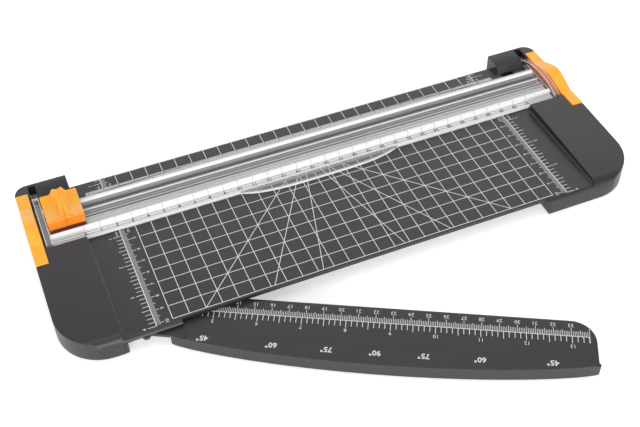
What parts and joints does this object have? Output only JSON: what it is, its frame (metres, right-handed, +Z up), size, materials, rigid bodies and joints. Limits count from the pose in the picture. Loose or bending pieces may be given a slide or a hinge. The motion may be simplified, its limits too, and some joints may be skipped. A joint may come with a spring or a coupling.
{
  "type": "paper cutter",
  "caption": "Flat desk paper cutter: a clear hinged rail holds the sheet, a press-down slider draws a blade along it, and a curved ruler swings out from under the mat.",
  "frame": {"origin": "the middle of the centre foot's underside, on the table plane, below the middle of the cut line", "axes": "+X along the cut, to the right of a user in front; +Y away from the user; +Z up"},
  "size_m": [0.3768, 0.2597, 0.029],
  "materials": {
    "charcoal_plastic": "fine satin",
    "strip_plastic": "satin",
    "orange_plastic": "glossy, slightly translucent",
    "bright_steel": "bright",
    "black_rubber": "matt",
    "clear_plastic": "clear moulded plastic",
    "dark_plastic": "satin"
  },
  "bodies": {
    "base": {"base_shell": "charcoal_plastic", "cutting_strip": "strip_plastic", "end_cap_left": "orange_plastic", "end_cap_right": "orange_plastic", "cap_screws": "bright_steel", "foot_front_left": "black_rubber", "foot_front_right": "black_rubber", "foot_rear_left": "black_rubber", "foot_rear_right": "black_rubber", "foot_middle": "black_rubber", "hinge_pin_left": "bright_steel", "hinge_pin_right": "bright_steel", "ruler_screw": "bright_steel", "ruler_washer": "bright_steel"},
    "ruler": {"swing_ruler": "charcoal_plastic"},
    "rail": {"rail_bar": "clear_plastic", "rail_end_left": "clear_plastic", "rail_end_right": "clear_plastic"},
    "slider": {"slider_shoe": "dark_plastic", "spring_left": "bright_steel", "spring_right": "bright_steel"},
    "grip": {"slider_grip": "orange_plastic", "blade_holder": "dark_plastic", "blade": "bright_steel", "blade_rivet": "bright_steel"}
  },
  "joints": [
    {"name": "ruler_swing", "type": "hinge", "parent": "base", "child": "ruler", "pos_m": [-0.1311, -0.0867, 0.005], "axis": [0, 0, 1], "range_deg": [-61.53, 28.47]},
    {"name": "rail_lift", "type": "hinge", "parent": "base", "child": "rail", "pos_m": [0, 0.031, 0.0095], "axis": [-1, 0, 0], "range_deg": [0, 40]},
    {"name": "slider_run", "type": "slide", "parent": "rail", "child": "slider", "axis": [1, 0, 0], "range_m": [0, 0.325]},
    {"name": "grip_press", "type": "slide", "parent": "slider", "child": "grip", "axis": [0, 0, -1], "range_m": [0, 0.0022], "stiffness_N_per_m": 900, "deforming": ["spring_left", "spring_right"]}
  ]
}
